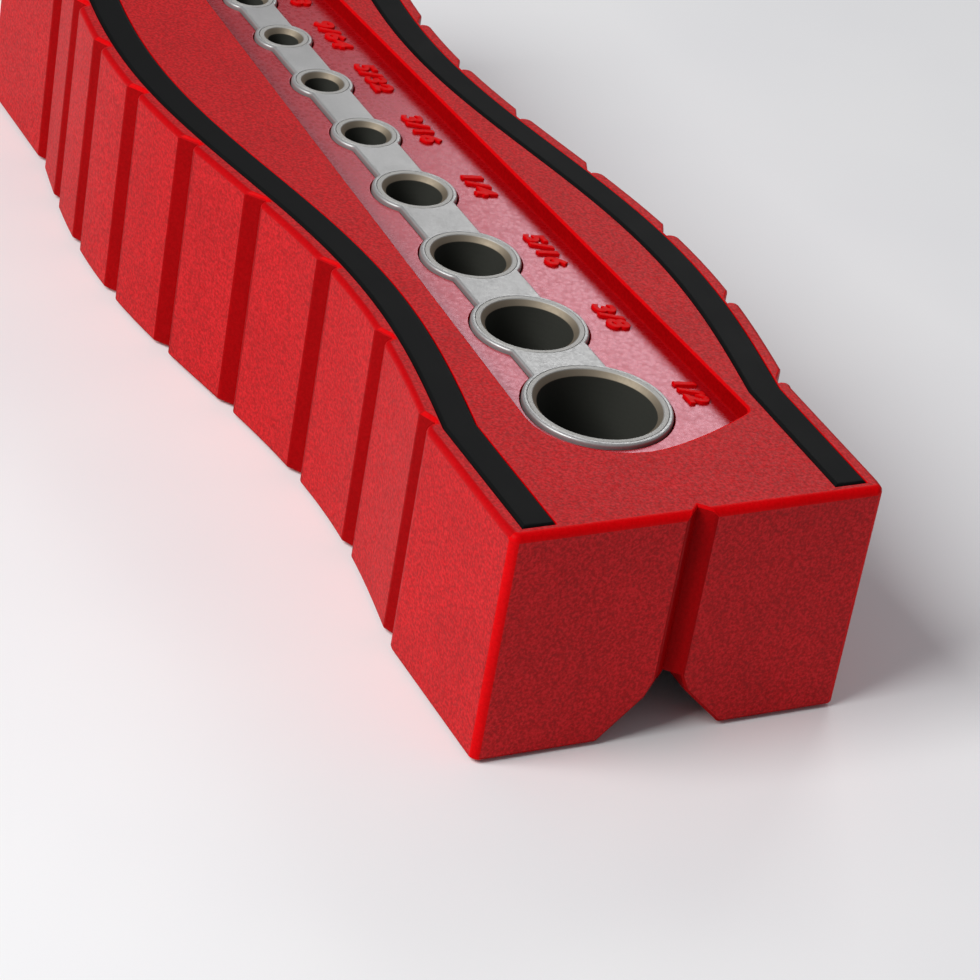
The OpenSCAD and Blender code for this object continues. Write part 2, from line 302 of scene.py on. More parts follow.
def finish_piece(
    piece: Object, material: Material, slot: Slot, replaced: Iterable[str] = ()
) -> None:
    """Give a new piece its material and the body that it rides on.

    Args:
        piece: the finished piece.
        material: what it is made of.
        slot: the record's slot of that finish; not used.
        replaced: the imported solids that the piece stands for.
    """
    piece.data.materials.clear()
    piece.data.materials.append(material)
    names = list(replaced)
    if names:
        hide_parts(*names)
    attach(piece, BODY)
    LOG.info("%s: %d faces", piece.name, len(piece.data.polygons))


# Finishes


@dataclass(frozen=True)
class Noise:
    """A noise texture: the width of its features in millimetres and how they break up."""

    width: float
    detail: float
    roughness: float = 0.5
    distortion: float = 0.0

    def on(self, place: NodeSocket) -> dict[str | int, Any]:
        """Give the inputs of the texture's node.

        Args:
            place: the coordinates that the texture lies on.

        Returns:
            Values and links by socket name.
        """
        return {
            "Vector": place,
            "Scale": per_metre(self.width),
            "Detail": self.detail,
            "Roughness": self.roughness,
            "Distortion": self.distortion,
        }


@dataclass(frozen=True)
class MouldedAbs:
    """ABS, injection-moulded: spark-eroded grain, smooth, or polished.

    The grain breaks the surface into fine lighter and darker specks. Where the die was
    smooth, there is hardly any sheen, and a darker copy paints shade there. Where it was
    polished, it also mirrors the lights softly. Brighter copies paint highlights on rounded
    edges. The melt's flow leaves faint clouds in the tone. A real spark-eroded grain of
    about 0.1 mm is too fine to show, so it is drawn coarser.
    """

    name: str = "red ABS, spark-eroded moulding"
    base: str = "C00C12"
    dark: str = "A2070B"
    light: str = "D6171F"
    grain: Noise = Noise(0.34, 1.0, 0.7)
    mottle: Noise = Noise(9.0, 3.0)
    mottle_dark: str = "F2F2F2"
    mottle_light: str = "FFFFFF"
    # width of the specks that are duller than the rest
    speck_mm: float = 0.544
    roughness: float = 0.52
    # how far the specks take the roughness down and up
    glossier: float = 0.04
    duller: float = 0.1
    specular: float = 0.15
    tint: str = "FFFFFF"
    bump_mm: float = 0.016
    bump_share: float = 0.34

    def build(self) -> Material:
        """Build the material.

        Returns:
            The new material.
        """
        material, tree, place = start_material(self.name)
        grain = add_node(tree, "ShaderNodeTexNoise", inputs=self.grain.on(place))
        mottle = add_node(tree, "ShaderNodeTexNoise", inputs=self.mottle.on(place))
        speck = add_node(
            tree,
            "ShaderNodeTexVoronoi",
            inputs={"Vector": place, "Scale": per_metre(self.speck_mm), "Randomness": 1.0},
        )
        tone = add_node(tree, "ShaderNodeValToRGB", inputs={"Fac": grain.outputs["Fac"]})
        set_ramp(tone, [(0.32, self.dark), (0.5, self.base), (0.68, self.light)])
        patch = add_node(tree, "ShaderNodeValToRGB", inputs={"Fac": mottle.outputs["Fac"]})
        set_ramp(patch, [(0.3, self.mottle_dark), (0.7, self.mottle_light)])
        colour = add_node(
            tree,
            "ShaderNodeMix",
            {"data_type": "RGBA", "blend_type": "MULTIPLY"},
            {0: 1.0, 6: tone.outputs["Color"], 7: patch.outputs["Color"]},
        )
        rough = add_node(
            tree,
            "ShaderNodeMapRange",
            inputs={
                "Value": speck.outputs["Distance"],
                "To Min": self.roughness - self.glossier,
                "To Max": self.roughness + self.duller,
            },
        )
        bump = add_node(
            tree,
            "ShaderNodeBump",
            inputs={
                "Strength": self.bump_share,
                "Distance": self.bump_mm * MM,
                "Height": grain.outputs["Fac"],
            },
        )
        shader = add_node(
            tree,
            "ShaderNodeBsdfPrincipled",
            inputs={
                "Base Color": colour.outputs[2],
                "Roughness": rough.outputs["Result"],
                "IOR": 1.53,
                "Specular IOR Level": self.specular,
                "Specular Tint": linear(self.tint),
                "Normal": bump.outputs["Normal"],
            },
        )
        add_node(tree, "ShaderNodeOutputMaterial", inputs={"Surface": shader.outputs["BSDF"]})
        return material


@dataclass(frozen=True)
class PlainFinish:
    """A surface whose colour, dullness and relief each follow a noise.

    Noises that are equal are the same pattern, which then drives more than one of the three.
    """

    name: str
    # places from 0 to 1 in the noise, each with its colour
    stops: tuple[tuple[float, str], ...]
    coloured_by: Noise
    dulled_by: Noise
    raised_by: Noise
    # roughness at the low and at the high end of the noise's span
    roughness: tuple[float, float]
    bump_share: float
    bump_mm: float
    span: tuple[float, float] = (0.0, 1.0)
    metallic: float = 0.0
    specular: float = 0.5

    def build(self) -> Material:
        """Build the material.

        Returns:
            The new material.
        """
        material, tree, place = start_material(self.name)
        noises = {
            noise: add_node(tree, "ShaderNodeTexNoise", inputs=noise.on(place)).outputs["Fac"]
            for noise in dict.fromkeys((self.coloured_by, self.dulled_by, self.raised_by))
        }
        tone = add_node(tree, "ShaderNodeValToRGB", inputs={"Fac": noises[self.coloured_by]})
        set_ramp(tone, self.stops)
        rough = add_node(
            tree,
            "ShaderNodeMapRange",
            inputs={
                "Value": noises[self.dulled_by],
                "From Min": self.span[0],
                "From Max": self.span[1],
                "To Min": self.roughness[0],
                "To Max": self.roughness[1],
            },
        )
        bump = add_node(
            tree,
            "ShaderNodeBump",
            inputs={
                "Strength": self.bump_share,
                "Distance": self.bump_mm * MM,
                "Height": noises[self.raised_by],
            },
        )
        shader = add_node(
            tree,
            "ShaderNodeBsdfPrincipled",
            inputs={
                "Base Color": tone.outputs["Color"],
                "Metallic": self.metallic,
                "Roughness": rough.outputs["Result"],
                "Specular IOR Level": self.specular,
                "Normal": bump.outputs["Normal"],
            },
        )
        add_node(tree, "ShaderNodeOutputMaterial", inputs={"Surface": shader.outputs["BSDF"]})
        return material


@dataclass(frozen=True)
class MouldedNylon(PlainFinish):
    """Nylon, injection-moulded with a fine grain: near black, even and half dull.

    Its real grain of about 0.1 mm is too fine to show, so it is drawn coarser.
    """

    name: str = "black nylon, moulded"
    stops: tuple[tuple[float, str], ...] = ((0.35, "141516"), (0.6, "1E1F21"))
    coloured_by: Noise = Noise(0.5, 3.0, 0.6)
    dulled_by: Noise = Noise(10.0, 2.0)
    raised_by: Noise = coloured_by
    roughness: tuple[float, float] = (0.44, 0.58)
    bump_share: float = 0.5
    bump_mm: float = 0.012


@dataclass(frozen=True)
class DieCastZinc(PlainFinish):
    """Zinc alloy, die-cast and tumbled: pale satin skin with faint flow clouds.

    The pits that tumbling leaves are about 0.1 mm wide and too fine to show, so they are
    drawn coarser.
    """

    name: str = "zinc alloy, die-cast and tumbled"
    stops: tuple[tuple[float, str], ...] = ((0.35, "A6A6A5"), (0.65, "B2B2B1"))
    coloured_by: Noise = Noise(6.0, 3.0, distortion=0.8)
    dulled_by: Noise = Noise(0.35, 4.0, 0.65)
    raised_by: Noise = dulled_by
    roughness: tuple[float, float] = (0.34, 0.52)
    bump_share: float = 0.35
    bump_mm: float = 0.01
    span: tuple[float, float] = (0.3, 0.7)
    metallic: float = 0.5


@dataclass(frozen=True)
class ZincPlate(PlainFinish):
    """Steel screw, cold-headed and zinc-plated: bluish, with small dull spots."""

    name: str = "steel, zinc-plated"
    stops: tuple[tuple[float, str], ...] = ((0.35, "8F9498"), (0.6, "B8BCC0"))
    coloured_by: Noise = Noise(0.5, 5.0, 0.65)
    dulled_by: Noise = coloured_by
    raised_by: Noise = coloured_by
    roughness: tuple[float, float] = (0.5, 0.24)
    bump_share: float = 0.3
    bump_mm: float = 0.01
    metallic: float = 1.0


@dataclass(frozen=True)
class MouldedRubber(PlainFinish):
    """Thermoplastic rubber, moulded: near black, dull, with a powdery fine grain.

    Its real grain of less than 0.1 mm is too fine to show, so it is drawn coarser.
    """

    stops: tuple[tuple[float, str], ...] = ((0.4, "0A0B0B"), (0.8, "111213"))
    coloured_by: Noise = Noise(7.0, 4.0)
    dulled_by: Noise = coloured_by
    raised_by: Noise = Noise(0.22, 3.0, 0.7)
    roughness: tuple[float, float] = (0.52, 0.7)
    bump_share: float = 0.4
    bump_mm: float = 0.012
    specular: float = 0.08


@dataclass(frozen=True)
class GroundSteel:
    """Hardened steel, turned and ground at the mouth, with its bore painted dark as shade.

    The ground ring is pale and satin, the bevel has a warm temper colour, and the bore
    below it is painted dark and dull as the shade inside it. Real turning marks are about
    0.1 mm apart and too fine to show. Here they are 0.7 mm apart, with 0.11 mm to each
    radian of their wave.
    """

    name: str = "hardened steel, ground mouth and bore with painted shade"
    ring: str = "C2C1BD"
    bevel: str = "958A79"
    # painted shade inside the bore: a dark, dull colour below the bevel
    bore_shade: str = "34352F"
    mouth_z: float = 26.1
    bevel_depth: float = 0.6
    # where the bore's painted shade ends, the bevel starts and ends and the ring starts, from
    # below, as shares of twice the bevel's depth
    turns: tuple[float, float, float, float] = (0.44, 0.52, 0.9, 0.98)
    radian_mm: float = 0.11
    # the wave texture turns by this many radians over one unit
    unit_radians: float = 20.0
    scuff: Noise = Noise(0.3, 4.0)
    roughness: tuple[float, float] = (0.56, 0.72)
    bump_share: float = 0.25
    bump_mm: float = 0.01

    def build(self) -> Material:
        """Build the material.

        Returns:
            The new material.
        """
        material, tree, place = start_material(self.name)
        height = add_node(tree, "ShaderNodeSeparateXYZ", inputs={"Vector": place}).outputs["Z"]
        level = add_node(
            tree,
            "ShaderNodeMapRange",
            inputs={
                "Value": height,
                "From Min": (self.mouth_z - 2 * self.bevel_depth) * MM,
                "From Max": self.mouth_z * MM,
            },
        )
        tone = add_node(tree, "ShaderNodeValToRGB", inputs={"Fac": level.outputs["Result"]})
        set_ramp(tone, list(zip(self.turns, (self.bore_shade, self.bevel, self.bevel, self.ring))))
        metal = add_node(
            tree,
            "ShaderNodeMapRange",
            inputs={
                "Value": level.outputs["Result"],
                "From Min": self.turns[0],
                "From Max": self.turns[1],
            },
        )
        # turning marks: bands that follow the height on the bevel
        bands = add_node(
            tree,
            "ShaderNodeTexWave",
            {"wave_type": "BANDS", "bands_direction": "Z"},
            {
                "Vector": place,
                "Scale": per_metre(self.radian_mm) / self.unit_radians,
                "Distortion": 1.5,
                "Detail": 2.0,
            },
        )
        scuff = add_node(tree, "ShaderNodeTexNoise", inputs=self.scuff.on(place))
        rough = add_node(
            tree,
            "ShaderNodeMapRange",
            inputs={
                "Value": scuff.outputs["Fac"],
                "To Min": self.roughness[0],
                "To Max": self.roughness[1],
            },
        )
        bump = add_node(
            tree,
            "ShaderNodeBump",
            inputs={
                "Strength": self.bump_share,
                "Distance": self.bump_mm * MM,
                "Height": bands.outputs["Fac"],
            },
        )
        shader = add_node(
            tree,
            "ShaderNodeBsdfPrincipled",
            inputs={
                "Base Color": tone.outputs["Color"],
                "Metallic": metal.outputs["Result"],
                "Roughness": rough.outputs["Result"],
                "Normal": bump.outputs["Normal"],
            },
        )
        add_node(tree, "ShaderNodeOutputMaterial", inputs={"Surface": shader.outputs["BSDF"]})
        return material


@dataclass(frozen=True)
class StudioPaper:
    """Paper, uncoated, under and behind the object: matte white and very faintly cloudy."""

    name: str = "studio paper"
    base: str = "FCFCFC"
    shade: str = "F8F8F9"
    clouds: Noise = Noise(40.0, 2.0)
    roughness: float = 0.9

    def build(self) -> Material:
        """Build the material.

        Returns:
            The new material.
        """
        material, tree, place = start_material(self.name)
        clouds = add_node(tree, "ShaderNodeTexNoise", inputs=self.clouds.on(place))
        tone = add_node(tree, "ShaderNodeValToRGB", inputs={"Fac": clouds.outputs["Fac"]})
        set_ramp(tone, [(0.3, self.shade), (0.7, self.base)])
        shader = add_node(
            tree,
            "ShaderNodeBsdfPrincipled",
            inputs={"Base Color": tone.outputs["Color"], "Roughness": self.roughness},
        )
        add_node(tree, "ShaderNodeOutputMaterial", inputs={"Surface": shader.outputs["BSDF"]})
        return material


# Sub-assemblies


@dataclass
class Block:
    """The red moulded block, as a copy of its solid with the moulding's rounded edges."""

    half_l: float = 73.2045
    half_w: float = 21.35
    straight: float = 19.8
    swing: float = 3.3
    base_z: float = 0.4
    floor_z: float = 25.6
    top_z: float = 27.6
    groove_d: float = 1.25
    inlay_in: float = 15.95
    # the whole pocket lies nearer to the block's middle than this
    pocket_reach: float = 62.0
    notch_d: float = 1.4
    corner_r: float = 1.0
    # places that are nearer than this count as one
    slip: float = 0.06
    # distances that tell where an edge or a face lies
    notch_reach: float = 2.0
    end_zone: float = 1.2
    end_rim: float = 1.1
    foot_side: float = 1.0
    foot_end: float = 1.8
    inlay_slip: float = 0.1
    inlay_room: float = 0.5
    side_band: float = 0.7
    root_band: float = 0.3
    # an edge counts from this turn in degrees, is a step from this height, and is on a
    # slope from this climb, as a share of the groove's depth
    least_turn: float = 20.0
    least_height: float = 3.0
    least_climb: float = 0.6
    # parts of a face's normal from which it faces up or straight out, or below which it is
    # upright
    facing_up: float = 0.95
    facing_out: float = 0.995
    upright: float = 0.2
    radii: dict[Zone, float] = field(
        default_factory=lambda: {
            Zone.END_RIM: 0.85,
            Zone.PANEL_RIM: 0.6,
            Zone.GROOVE_RIM: 0.2,
            Zone.SLOPE_RIM: 0.35,
            Zone.NOTCH: 0.3,
            Zone.FOOT: 0.3,
            Zone.POCKET_RIM: 0.35,
            Zone.POCKET_ROOT: 0.2,
            Zone.SLOT_RIM: 0.12,
            Zone.INLAY_RIM: 0.07,
            Zone.STEP: 0.22,
        }
    )

    def wave(self, x: float) -> float:
        """Sideways place of the block's middle line at x."""
        reach = self.half_l - self.straight
        return self.swing * math.sin(math.pi * x / reach) if abs(x) < reach else 0.0

    def zone_of(self, edge: BMEdge) -> Zone:
        """Tell what kind of edge this is from its place and its faces.

        Args:
            edge: an edge with two faces.

        Returns:
            The edge's zone.
        """
        turn = math.degrees(edge.calc_face_angle(0.0))
        if turn < self.least_turn:
            return Zone.NONE
        middle = (edge.verts[0].co + edge.verts[1].co) / (2 * MM)
        low = min(v.co.z for v in edge.verts) / MM
        high = max(v.co.z for v in edge.verts) / MM
        out = abs(middle.y - self.wave(middle.x))
        at_end = abs(middle.x) > self.half_l - self.notch_d - self.slip
        near_notch = at_end and abs(middle.y) < self.notch_reach
        outside = out > self.half_w - self.groove_d - 2 * self.slip or near_notch
        outside = outside or abs(middle.x) > self.half_l - self.end_zone
        if low > self.top_z - self.slip:
            ends = [abs(v.co.y / MM - self.wave(v.co.x / MM)) for v in edge.verts]
            return self._rim_zone(middle, out, outside, near_notch, abs(ends[0] - ends[1]))
        if abs(low - self.floor_z) < self.slip and abs(high - self.floor_z) < self.slip:
            if abs(middle.x) > self.pocket_reach or out > self.inlay_in:
                return Zone.NONE
            return Zone.SLOT_RIM if edge.is_convex else Zone.POCKET_ROOT
        if high < self.base_z + self.slip:
            inner = out < self.half_w - self.groove_d - self.foot_side
            inner = inner and abs(middle.x) < self.half_l - self.foot_end
            return Zone.NONE if inner else Zone.FOOT
        if outside and edge.is_convex and high - low > self.least_height:
            return Zone.NOTCH if at_end else Zone.STEP
        if abs(middle.x) > self.half_l - self.slip and edge.is_convex:
            return Zone.NOTCH
        return Zone.NONE

    def _rim_zone(
        self, middle: Vector, out: float, outside: bool, near_notch: bool, climb: float
    ) -> Zone:
        """Zone of an edge that lies in the top face.

        Args:
            middle: the edge's middle, in millimetres.
            out: its distance from the waved middle line.
            outside: whether it is on the block's outline.
            near_notch: whether it is on a sighting notch.
            climb: how far it runs away from the middle line.

        Returns:
            The edge's zone.
        """
        if near_notch:
            return Zone.NOTCH
        if outside:
            if abs(middle.x) > self.half_l - self.end_rim:
                return Zone.END_RIM
            if out < self.half_w - self.groove_d + self.slip:
                return Zone.GROOVE_RIM
            steep = climb > self.least_climb * self.groove_d
            return Zone.SLOPE_RIM if steep else Zone.PANEL_RIM
        return Zone.INLAY_RIM if out > self.inlay_in - self.inlay_slip else Zone.POCKET_RIM

    def radius_of(self, edge: BMEdge) -> float:
        """Radius of an edge in millimetres, 0 where it stays sharp."""
        return self.radii.get(self.zone_of(edge), 0.0)

    def build(self, nodes: Pieces) -> Object:
        """Make the rounded block.

        Args:
            nodes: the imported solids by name.

        Returns:
            The block's piece.
        """
        piece = merged_copy(nodes["housing"], "moulded_block", (1, 0, 0))
        round_edges(piece, self.radius_of)
        return piece

    def gloss_of(self, centre: Vector, normal: Vector) -> Gloss:
        """Tell the block's surface where a face lies.

        Args:
            centre: the face's middle, in metres.
            normal: the direction that it faces.

        Returns:
            The surface there.
        """
        x, y, z = centre / MM
        if abs(z - self.floor_z) < self.slip and normal.z > self.facing_up:
            return Gloss.POLISHED
        on_end = abs(normal.x) > self.facing_out and abs(x) > self.half_l - self.slip
        if abs(normal.z) > self.facing_out or on_end:
            return Gloss.GRAINED
        reach = self.half_l - self.straight
        waved = abs(x) < reach
        slope = self.swing * math.pi / reach * math.cos(math.pi * x / reach) if waved else 0.0
        along = abs(normal.dot(Vector((-slope, 1, 0)).normalized())) > self.facing_out
        out = abs(y - self.wave(x))
        if along and abs(out - self.half_w) < self.slip:
            return Gloss.GRAINED
        inset = self.corner_r - self.slip / 2
        at_corner = abs(x) > self.half_l - inset and abs(y) > self.half_w - inset
        # faces below the pocket's floor, away from the corners, get the darker red of painted shade
        if not at_corner and z < self.floor_z:
            return Gloss.SMOOTH
        # the pocket's walls get the darker red of painted shade, and its rounded rims the brighter
        # red of painted highlight
        in_pocket = abs(x) < self.pocket_reach and out < self.inlay_in - self.inlay_room
        on_wall = abs(normal.z) < self.upright or z < self.floor_z + self.root_band
        if in_pocket and on_wall:
            return Gloss.SMOOTH
        # rounded edges of the top get a painted highlight, a weaker one on the side panels' rims
        on_side = abs(x) < self.half_l - self.end_rim and out > self.half_w - self.side_band
        return Gloss.RIM if on_side else Gloss.EDGE

    def dress(self, piece: Object, plastics: dict[Gloss, Material]) -> None:
        """Give the block its plastic, face by face.

        Args:
            piece: the rounded block, which stands for its solid.
            plastics: the material for each kind of surface.
        """
        finish_piece(piece, plastics[Gloss.GRAINED], Slot.RED_PLASTIC, ["housing"])
        order = [Gloss.GRAINED, Gloss.POLISHED, Gloss.SMOOTH, Gloss.EDGE, Gloss.RIM]
        for gloss in order[1:]:
            piece.data.materials.append(plastics[gloss])
        for face in piece.data.polygons:
            face.material_index = order.index(self.gloss_of(face.center, face.normal))


@dataclass
class SizeMarks:
    """Raised drill sizes on the pocket's floor, one beside each bore."""

    floor_z: float = 25.6
    rise: float = 0.3
    sink: float = 0.06
    height: float = 2.5
    lean: float = 0.22
    spacing: float = 1.12
    stroke_bold: float = 0.034
    stroke_round: float = 0.02
    stroke_depth: float = 0.06
    round_steps: int = 3
    curve_steps: int = 4
    # edges that turn by fewer degrees are shaded smooth
    smooth_turn: float = 50.0
    voxel: float = 0.06
    kept_share: float = 0.35
    # words, middle in x, middle in y and width
    marks: tuple[tuple[str, float, float, float], ...] = (
        ("1/2", 49.5, 11.5, 4.6),
        ("3/8", 33.4, 10.1, 5.5),
        ("5/16", 18.6, 9.3, 7.2),
        ("1/4", 3.6, 8.2, 5.2),
        ("3/16", -10.3, 7.3, 7.0),
        ("5/32", -23.3, 7.0, 7.2),
        ("9/64", -34.6, 6.6, 7.2),
        ("1/8", -45.0, 6.2, 4.6),
        ("7/64", -54.6, 5.8, 6.4),
    )

    def build(self) -> list[Object]:
        """Make the raised marks.

        Returns:
            One piece for each mark.
        """
        return [self._mark(*mark) for mark in self.marks]

    def _mark(self, words: str, x: float, y: float, width: float) -> Object:
        """Make one mark.

        Args:
            words: the size in inches.
            x: the middle's place along the block.
            y: the middle's place across it.
            width: the length of the words.

        Returns:
            The mark's piece.
        """
        deselect()
        bpy.ops.object.text_add()
        piece = bpy.context.object
        piece.name = "mark_" + words.replace("/", "_")
        text = piece.data
        text.body = words
        text.shear = self.lean
        text.space_character = self.spacing
        text.extrude = self.stroke_depth
        text.offset = self.stroke_bold
        text.bevel_depth = self.stroke_round
        text.bevel_resolution = self.round_steps
        text.resolution_u = self.curve_steps
        bpy.ops.object.convert(target="MESH")
        piece = bpy.context.object
        low = Vector([min(v.co[k] for v in piece.data.vertices) for k in range(3)])
        high = Vector([max(v.co[k] for v in piece.data.vertices) for k in range(3)])
        size = high - low
        want = Vector((width, self.height, 2 * self.rise))
        scale = Matrix.Diagonal([want[k] / size[k] * MM for k in range(3)] + [1.0])
        piece.data.transform(Matrix.Translation(-(low + high) / 2))
        piece.data.transform(scale)
        piece.data.transform(Matrix.Translation(Vector((x, y, self.floor_z)) * MM))
        apply_modifier(piece, "WELD", merge_threshold=JOIN_MM * MM)
        apply_modifier(piece, "REMESH", mode="VOXEL", voxel_size=self.voxel * MM)
        activate(piece)
        bpy.ops.object.mode_set(mode="EDIT")
        bpy.ops.mesh.select_all(action="SELECT")
        bpy.ops.mesh.bisect(
            plane_co=(0, 0, (self.floor_z - self.sink) * MM),
            plane_no=(0, 0, -1),
            use_fill=True,
            clear_outer=True,
            threshold=CUT_MM * MM,
        )
        bpy.ops.mesh.select_all(action="SELECT")
        bpy.ops.mesh.normals_make_consistent(inside=False)
        bpy.ops.object.mode_set(mode="OBJECT")
        apply_modifier(piece, "DECIMATE", ratio=self.kept_share)
        activate(piece)
        bpy.ops.object.shade_smooth_by_angle(angle=math.radians(self.smooth_turn))
        return piece

    def dress(self, pieces: list[Object], material: Material) -> None:
        """Give the marks their plastic."""
        for piece in pieces:
            finish_piece(piece, material, Slot.RED_PLASTIC)


@dataclass
class GuideStrip:
    """The cast strip, with soft edges round its bosses, and the bushings in it."""

    strip_z: float = 26.1
    edge_radius: float = 0.3
    mouth_radius: float = 0.03
    bushing_radius: float = 0.05
    # edges that turn by fewer degrees, or lie deeper below the top than this, stay sharp
    least_turn: float = 30.0
    depth_slip: float = 0.05
    seat_slip: float = 0.1
    # each bore's place along the block and the radius of its seat in the strip
    seats: tuple[tuple[float, float], ...] = (
        (50.0045, 7.55),
        (33.7045, 5.9625),
        (18.7085, 5.169),
        (3.7125, 4.375),
        (-9.898, 3.581),
        (-22.6935, 3.184),
        (-34.511, 2.986),
        (-45.0245, 2.7875),
        (-54.8045, 2.589),
    )

    def radius_of(self, edge: BMEdge) -> float:
        """Radius of an edge in millimetres, 0 where it stays sharp.

        Args:
            edge: an edge with two faces.

        Returns:
            The radius.
        """
        if math.degrees(edge.calc_face_angle(0.0)) < self.least_turn:
            return 0.0
        if min(v.co.z for v in edge.verts) < (self.strip_z - self.depth_slip) * MM:
            return 0.0
        middle = (edge.verts[0].co + edge.verts[1].co) / (2 * MM)
        for x, r in self.seats:
            if math.hypot(middle.x - x, middle.y) < r + self.seat_slip:
                return self.mouth_radius
        return self.edge_radius

    def build(self, nodes: Pieces) -> Object:
        """Make the rounded strip.

        Args:
            nodes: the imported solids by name.

        Returns:
            The strip's piece.
        """
        piece = merged_copy(nodes["guide_strip"], "cast_strip", (0, 1, 0))
        round_edges(piece, self.radius_of, segments=3)
        return piece

    def dress(self, piece: Object, nodes: Pieces, zinc: Material, steel: Material) -> None:
        """Give the strip and the bushings their metals, and soften the bushings' edges.

        Args:
            piece: the rounded strip.
            nodes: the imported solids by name.
            zinc: the strip's material.
            steel: the bushings' material.
        """
        finish_piece(piece, zinc, Slot.CAST_METAL, ["guide_strip"])
        for name, node in nodes.items():
            if name.startswith("bushing_"):
                soften(node, self.bushing_radius)
                paint(node, steel)


def soften(node: Object, radius: float) -> None:
    """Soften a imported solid's edges with live modifiers, which leave its mesh as it is.

    Args:
        node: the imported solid.
        radius: the edges' radius in millimetres.
    """
    weld = node.modifiers.new("joined", "WELD")
    weld.merge_threshold = JOIN_MM * MM
    flat = node.modifiers.new("flat faces", "DECIMATE")
    flat.decimate_type = "DISSOLVE"
    flat.angle_limit = FLAT_TURN
    bevel = node.modifiers.new("soft edges", "BEVEL")
    bevel.width = radius * MM
    bevel.segments = 3
    bevel.limit_method = "ANGLE"
    bevel.angle_limit = SOFT_TURN
    bevel.use_clamp_overlap = True
    shade = node.modifiers.new("even shade", "WEIGHTED_NORMAL")
    shade.keep_sharp = True


def paint(node: Object, material: Material) -> None:
    """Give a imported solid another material.

    Args:
        node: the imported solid.
        material: what it is made of.
    """
    if not node.material_slots:
        node.data.materials.append(material)
    for place in node.material_slots:
        place.link = "OBJECT"
        place.material = material
    LOG.info("%s: %s", node.name, material.name)


@dataclass
class GripStrips:
    """The two rubber strips in the top, with rounded upper edges."""

    top_z: float = 27.8
    edge_radius: float = 0.42
    # edges that turn by fewer degrees, or lie deeper below the top than this, stay sharp
    least_turn: float = 30.0
    depth_slip: float = 0.05

    def radius_of(self, edge: BMEdge) -> float:
        """Radius of an edge in millimetres, 0 where it stays sharp.

        Args:
            edge: an edge with two faces.

        Returns:
            The radius.
        """
        if math.degrees(edge.calc_face_angle(0.0)) < self.least_turn:
            return 0.0
        low = min(v.co.z for v in edge.verts)
        return self.edge_radius if low > (self.top_z - self.depth_slip) * MM else 0.0

    def build(self, nodes: Pieces) -> Pieces:
        """Make both strips.

        Args:
            nodes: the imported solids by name.

        Returns:
            Each strip's piece, by the name of the solid that it replaces.
        """
        pieces = {}
        for side in ("left", "right"):
            piece = merged_copy(nodes[f"grip_strip_{side}"], f"rubber_strip_{side}", (1, 0, 0))
            round_edges(piece, self.radius_of)
            pieces[f"grip_strip_{side}"] = piece
        return pieces

    def dress(self, pieces: Pieces, material: Material) -> None:
        """Give the strips their rubber."""
        for node, piece in pieces.items():
            finish_piece(piece, material, Slot.GRIP_RUBBER, [node])


@dataclass
class BaseParts:
    """The plate, the ribbed pads and the screws that are seen from below."""

    plate_radius: float = 0.15
    screw_radius: float = 0.12
    tread_pitch: float = 1.6
    tread_width: float = 0.7
    tread_depth: float = 0.25
    tread_rim: float = 1.2
    tread_reach: float = 60.0

    def build(self, nodes: Pieces) -> Pieces:
        """Make the four pads, with grooves cut across their undersides.

        Args:
            nodes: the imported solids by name.

        Returns:
            Each pad's piece, by the name of the solid that it replaces.
        """
        pads = {}
        for name in sorted(n for n in nodes if n.startswith("base_pad")):
            piece = merged_copy(nodes[name], name.replace("base", "rubber"), (1, 0, 0))
            self._cut_treads(piece)
            activate(piece)
            bpy.ops.object.shade_smooth_by_angle(angle=SMOOTH_TURN)
            pads[name] = piece
        return pads

    def _cut_treads(self, piece: Object) -> None:
        """Cut a pad's grooves with a row of bars.

        Args:
            piece: the pad.
        """
        places = [v.co.x / MM for v in piece.data.vertices]
        first = min(places) + self.tread_rim + self.tread_width / 2
        last = max(places) - self.tread_rim - self.tread_width / 2
        deselect()
        bpy.ops.mesh.primitive_cube_add(size=MM, location=(0, 0, 0))
        bars = bpy.context.object
        bars.data.transform(
            Matrix.Diagonal((self.tread_width, self.tread_reach, 2 * self.tread_depth, 1.0))
        )
        bars.data.transform(Matrix.Translation((first * MM, 0, 0)))
        apply_modifier(
            bars,
            "ARRAY",
            count=int((last - first) / self.tread_pitch) + 1,
            use_relative_offset=False,
            use_constant_offset=True,
            constant_offset_displace=(self.tread_pitch * MM, 0, 0),
        )
        apply_modifier(piece, "BOOLEAN", object=bars, operation="DIFFERENCE", solver="EXACT")
        bpy.data.objects.remove(bars)

    def dress(
        self,
        pads: Pieces,
        nodes: Pieces,
        plastic: Material,
        rubber: Material,
        plated: Material,
    ) -> None:
        """Give the pads their rubber, and soften and paint the plate and the screws.

        Args:
            pads: the pads by the names of their solids.
            nodes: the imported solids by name.
            plastic: the plate's material.
            rubber: the pads' material.
            plated: the screws' material.
        """
        for name, piece in pads.items():
            finish_piece(piece, rubber, Slot.GRIP_RUBBER, [name])
        for name, node in nodes.items():
            if name == "base_plate":
                soften(node, self.plate_radius)
                paint(node, plastic)
            elif name.endswith("screws"):
                soften(node, self.screw_radius)
                paint(node, plated)


@dataclass(frozen=True)
class Lamp:
    """One soft rectangular light, with its place, aim and size in millimetres."""

    name: str
    at: tuple[float, float, float]
    to: tuple[float, float, float]
    size: tuple[float, float]
    watts: float


